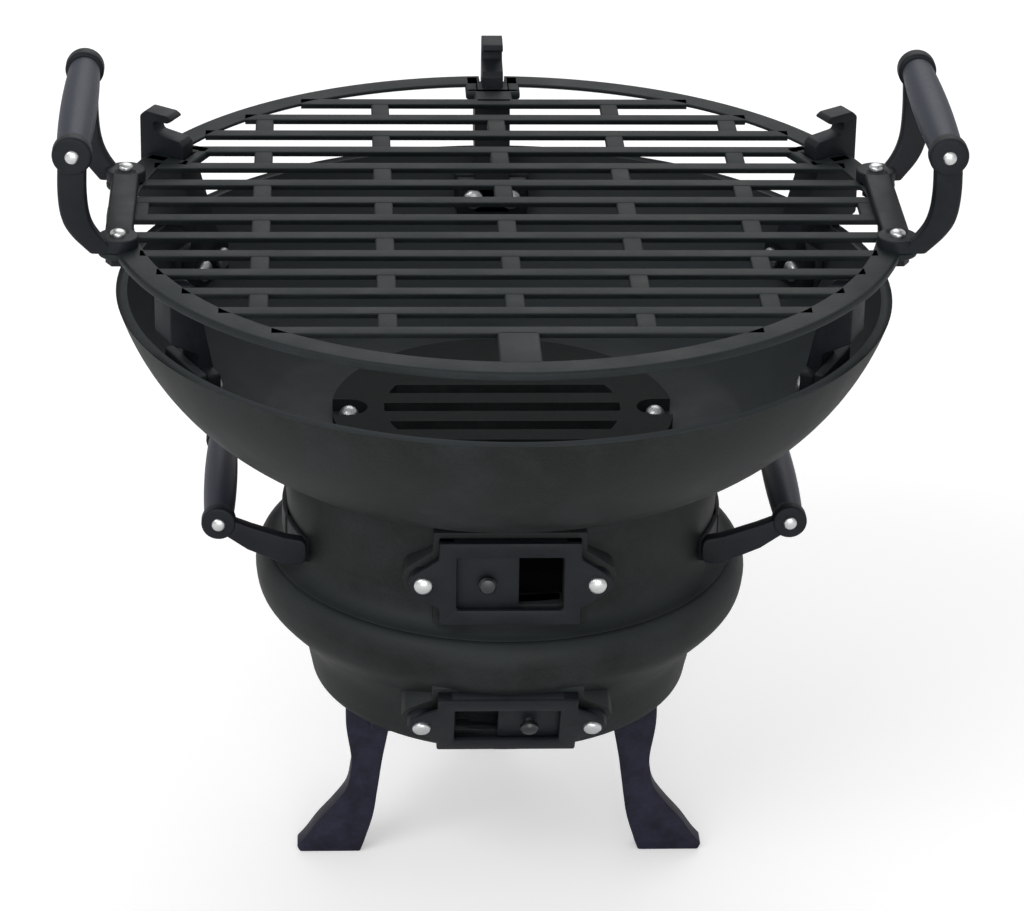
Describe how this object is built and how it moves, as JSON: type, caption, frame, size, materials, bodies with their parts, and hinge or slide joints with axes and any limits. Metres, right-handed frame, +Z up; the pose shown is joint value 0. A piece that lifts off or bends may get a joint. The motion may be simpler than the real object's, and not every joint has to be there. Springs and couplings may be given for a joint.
{
  "type": "barrel grill",
  "caption": "Cast-iron barrel barbecue grill with a lift-off slotted grate, a wide fire bowl on a vented barrel, carrying handles and short legs.",
  "frame": {"origin": "on the floor, on the barrel's axis", "axes": "+Z up, -Y towards the front with the two air vents, +X towards the right-hand handles"},
  "size_m": [0.3954, 0.36, 0.3598],
  "materials": {
    "barrel_iron": "matte",
    "fitting_iron": "matte",
    "leg_iron": "matte",
    "grate_iron": "matte",
    "grip": "satin",
    "zinc": "satin",
    "knob_steel": "satin"
  },
  "bodies": {
    "base": {"lower_bowl": "barrel_iron", "leg_back": "leg_iron", "leg_front_left": "leg_iron", "leg_front_right": "leg_iron", "leg_bolts": "zinc", "leg_nuts": "zinc", "lower_vent_frame": "fitting_iron", "lower_vent_bolts": "zinc", "lower_vent_nuts": "zinc"},
    "barrel": {"collar": "barrel_iron", "top_bowl": "barrel_iron", "floor_bolts": "zinc", "floor_nuts": "zinc", "hook_bracket_left": "fitting_iron", "hook_bracket_right": "fitting_iron", "hook_bracket_back": "fitting_iron", "front_rest_left": "fitting_iron", "front_rest_right": "fitting_iron", "holder_bolts": "zinc", "lower_handle_bolts": "zinc", "mid_vent_frame": "fitting_iron", "mid_vent_bolts": "zinc", "mid_vent_nuts": "zinc", "lower_handle_left": "fitting_iron", "lower_grip_left": "grip", "lower_grip_rod_left": "zinc", "lower_grip_nut_left": "zinc", "lower_handle_right": "fitting_iron", "lower_grip_right": "grip", "lower_grip_rod_right": "zinc", "lower_grip_nut_right": "zinc"},
    "grate": {"cooking_grate": "grate_iron", "upper_handle_bolts": "zinc", "upper_handle_nuts": "fitting_iron", "upper_handle_left": "fitting_iron", "upper_grip_left": "grip", "upper_grip_rod_left": "zinc", "upper_grip_nut_left": "zinc", "upper_handle_right": "fitting_iron", "upper_grip_right": "grip", "upper_grip_rod_right": "zinc", "upper_grip_nut_right": "zinc"},
    "fire_grate_body": {"fire_grate": "grate_iron"},
    "mid_shutter_body": {"mid_shutter": "fitting_iron", "mid_knob": "knob_steel"},
    "lower_shutter_body": {"lower_shutter": "fitting_iron", "lower_knob": "knob_steel"}
  },
  "joints": [
    {"name": "barrel_lift", "type": "slide", "parent": "base", "child": "barrel", "axis": [0, 0, 1], "range_m": [0, 0.06]},
    {"name": "grate_lift", "type": "slide", "parent": "barrel", "child": "grate", "axis": [0, 0, 1], "range_m": [0, 0.06]},
    {"name": "fire_grate_lift", "type": "slide", "parent": "barrel", "child": "fire_grate_body", "axis": [0, 0, 1], "range_m": [0, 0.02]},
    {"name": "mid_shutter_slide", "type": "slide", "parent": "barrel", "child": "mid_shutter_body", "axis": [1, 0, 0], "range_m": [0, 0.02]},
    {"name": "lower_shutter_slide", "type": "slide", "parent": "base", "child": "lower_shutter_body", "axis": [-1, 0, 0], "range_m": [0, 0.02]}
  ]
}
